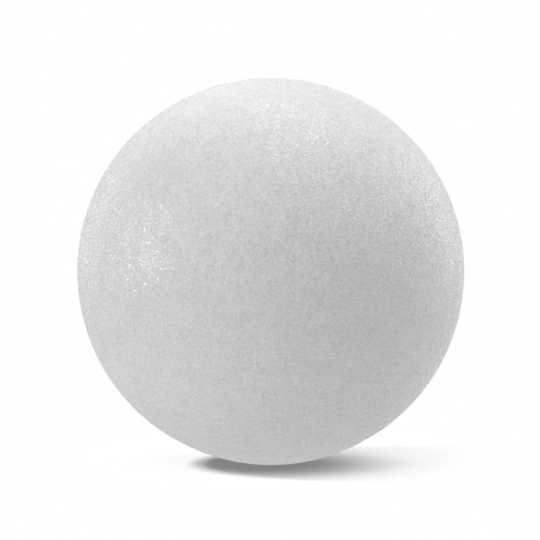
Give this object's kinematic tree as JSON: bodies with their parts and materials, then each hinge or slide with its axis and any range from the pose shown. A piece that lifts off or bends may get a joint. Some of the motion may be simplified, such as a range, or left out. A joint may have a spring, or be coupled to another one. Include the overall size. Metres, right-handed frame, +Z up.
{
  "type": "polystyrene ball",
  "caption": "Solid ball moulded in one piece from white expanded polystyrene beads, a plain craft ball to paint, cover, carve or pin into.",
  "frame": {"origin": "centre of the ball", "axes": "+Z up through the ball's top and the point that it stands on, +X to the right and +Y away from the viewer as pictured; the ball is the same about every axis"},
  "size_m": [0.2438, 0.2438, 0.2438],
  "materials": {
    "bead_foam": "matt white skin of small fused foam beads, with fine glints where single beads catch the light"
  },
  "bodies": {
    "root": {"foam_ball": "bead_foam"}
  },
  "joints": []
}
